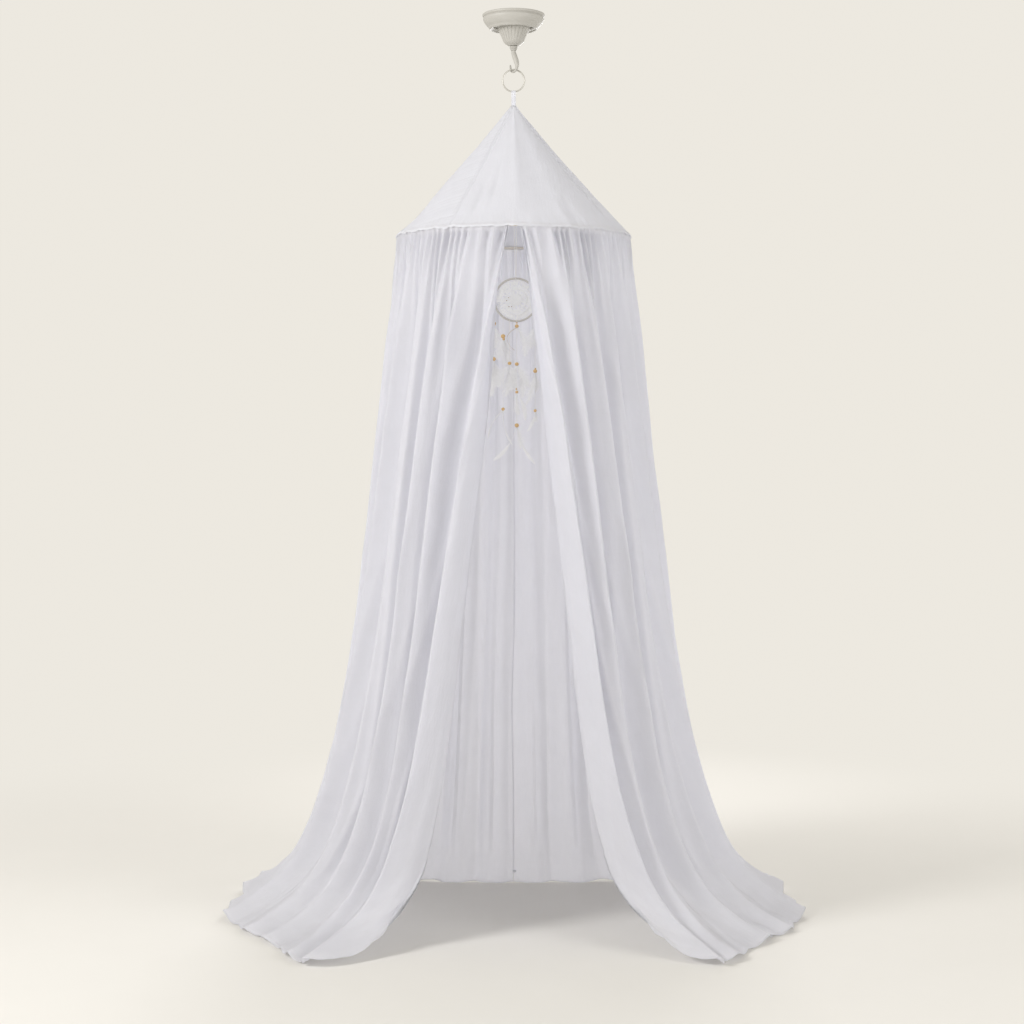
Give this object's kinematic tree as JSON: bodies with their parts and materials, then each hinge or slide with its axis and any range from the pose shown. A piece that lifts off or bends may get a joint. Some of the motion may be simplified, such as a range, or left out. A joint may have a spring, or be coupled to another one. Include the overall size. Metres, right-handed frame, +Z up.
{
  "type": "hanging canopy with hoop, ceiling hook and plate",
  "caption": "White gathered cloth bed canopy on a hoop, open at the front, hung by a loop and ring from a ceiling plate's hook, with a lace and feather ornament inside.",
  "frame": {"origin": "centre of the ceiling plate's top face, which lies on the ceiling", "axes": "+Z up along the hanging line, out of the ceiling face; -Y towards the front opening; +X to the right as seen from the front"},
  "size_m": [1.5138, 0.9215, 2.335],
  "materials": {
    "painted_metal": "cream painted casting, satin",
    "ring_metal": "painted wire, satin",
    "roof_cloth": "plain white cotton, matt",
    "hoop": "beige, matt",
    "curtain_cloth": "thin white cotton, slightly see-through, matt",
    "cotton_cord": "off-white cotton wrapping and string",
    "lace": "dense off-white lace",
    "wood_beads": "golden brown, satin",
    "feather": "white, soft"
  },
  "bodies": {
    "root": {"ceiling_plate": "painted_metal", "plate_screw_left": "painted_metal", "plate_screw_right": "painted_metal", "hook_collar": "painted_metal", "hook": "painted_metal", "ring": "ring_metal", "hanging_loop": "roof_cloth", "roof_gore_1": "roof_cloth", "roof_gore_2": "roof_cloth", "roof_gore_3": "roof_cloth", "roof_gore_4": "roof_cloth", "hoop": "hoop", "curtain_left": "curtain_cloth", "curtain_right": "curtain_cloth", "dream_string": "cotton_cord", "dream_ring": "cotton_cord", "dream_strand_a": "cotton_cord", "dream_strand_b": "cotton_cord", "dream_strand_c": "cotton_cord", "dream_strand_d": "cotton_cord", "dream_strand_e": "cotton_cord", "dream_web": "lace", "dream_bead_01": "wood_beads", "dream_bead_02": "wood_beads", "dream_bead_03": "wood_beads", "dream_bead_04": "wood_beads", "dream_bead_05": "wood_beads", "dream_bead_06": "wood_beads", "dream_bead_07": "wood_beads", "dream_bead_08": "wood_beads", "dream_bead_09": "wood_beads", "dream_bead_10": "wood_beads", "dream_bead_11": "wood_beads", "dream_bead_12": "wood_beads", "dream_feather_01": "feather", "dream_feather_02": "feather", "dream_feather_03": "feather", "dream_feather_04": "feather", "dream_feather_05": "feather", "dream_feather_06": "feather", "dream_feather_07": "feather", "dream_feather_08": "feather", "dream_feather_09": "feather", "dream_feather_10": "feather", "dream_feather_11": "feather", "dream_feather_12": "feather", "dream_feather_13": "feather", "dream_feather_14": "feather", "dream_feather_15": "feather", "dream_feather_16": "feather"}
  },
  "joints": []
}
